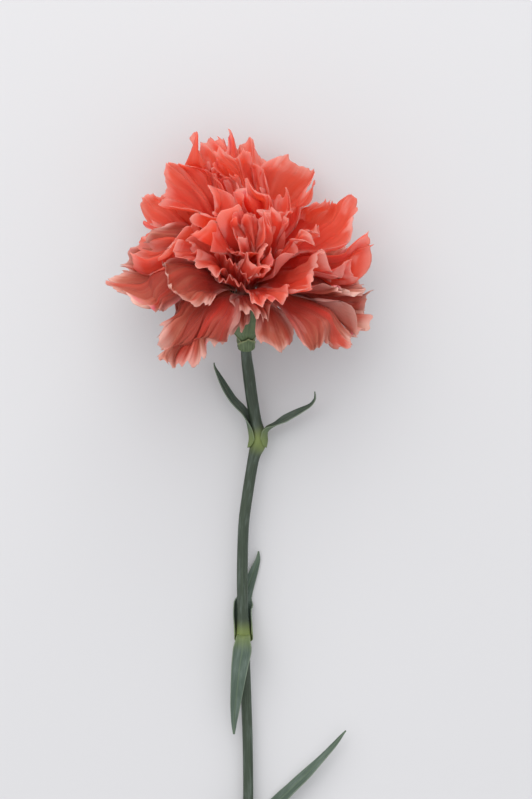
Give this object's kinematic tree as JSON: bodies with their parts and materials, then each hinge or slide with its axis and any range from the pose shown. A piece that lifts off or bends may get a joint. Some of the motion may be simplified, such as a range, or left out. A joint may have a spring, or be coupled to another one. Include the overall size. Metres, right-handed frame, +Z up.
{
  "type": "cut carnation",
  "caption": "Cut double carnation lying on its side: crowded ruffled petals, green calyx with bracts, jointed stem and narrow leaves.",
  "frame": {"origin": "middle of the bounding box in plan, on the surface that the flower lies on", "axes": "+Z up from the surface, +Y along the stem towards the head, +X to the right of the flower"},
  "size_m": [0.0849, 0.2696, 0.051],
  "materials": {
    "petal": "matte",
    "calyx": "satin",
    "stem": "satin",
    "leaf": "matte"
  },
  "bodies": {
    "root": {"petal_01": "petal", "petal_02": "petal", "petal_03": "petal", "petal_04": "petal", "petal_05": "petal", "petal_06": "petal", "petal_07": "petal", "petal_08": "petal", "petal_09": "petal", "petal_10": "petal", "petal_11": "petal", "petal_12": "petal", "petal_13": "petal", "petal_14": "petal", "petal_15": "petal", "petal_16": "petal", "petal_17": "petal", "petal_18": "petal", "petal_19": "petal", "petal_20": "petal", "petal_21": "petal", "petal_22": "petal", "petal_23": "petal", "petal_24": "petal", "petal_25": "petal", "petal_26": "petal", "petal_27": "petal", "petal_28": "petal", "petal_29": "petal", "petal_30": "petal", "petal_31": "petal", "petal_32": "petal", "petal_33": "petal", "petal_34": "petal", "petal_35": "petal", "petal_36": "petal", "petal_37": "petal", "petal_38": "petal", "petal_39": "petal", "petal_40": "petal", "petal_41": "petal", "petal_42": "petal", "petal_43": "petal", "calyx": "calyx", "inner_bract_left": "calyx", "inner_bract_right": "calyx", "outer_bract_front": "calyx", "outer_bract_back": "calyx", "stem": "stem", "upper_left_leaf": "leaf", "upper_right_leaf": "leaf", "middle_front_leaf": "leaf", "middle_back_leaf": "leaf", "lower_right_leaf": "leaf", "lower_left_leaf": "leaf"}
  },
  "joints": []
}
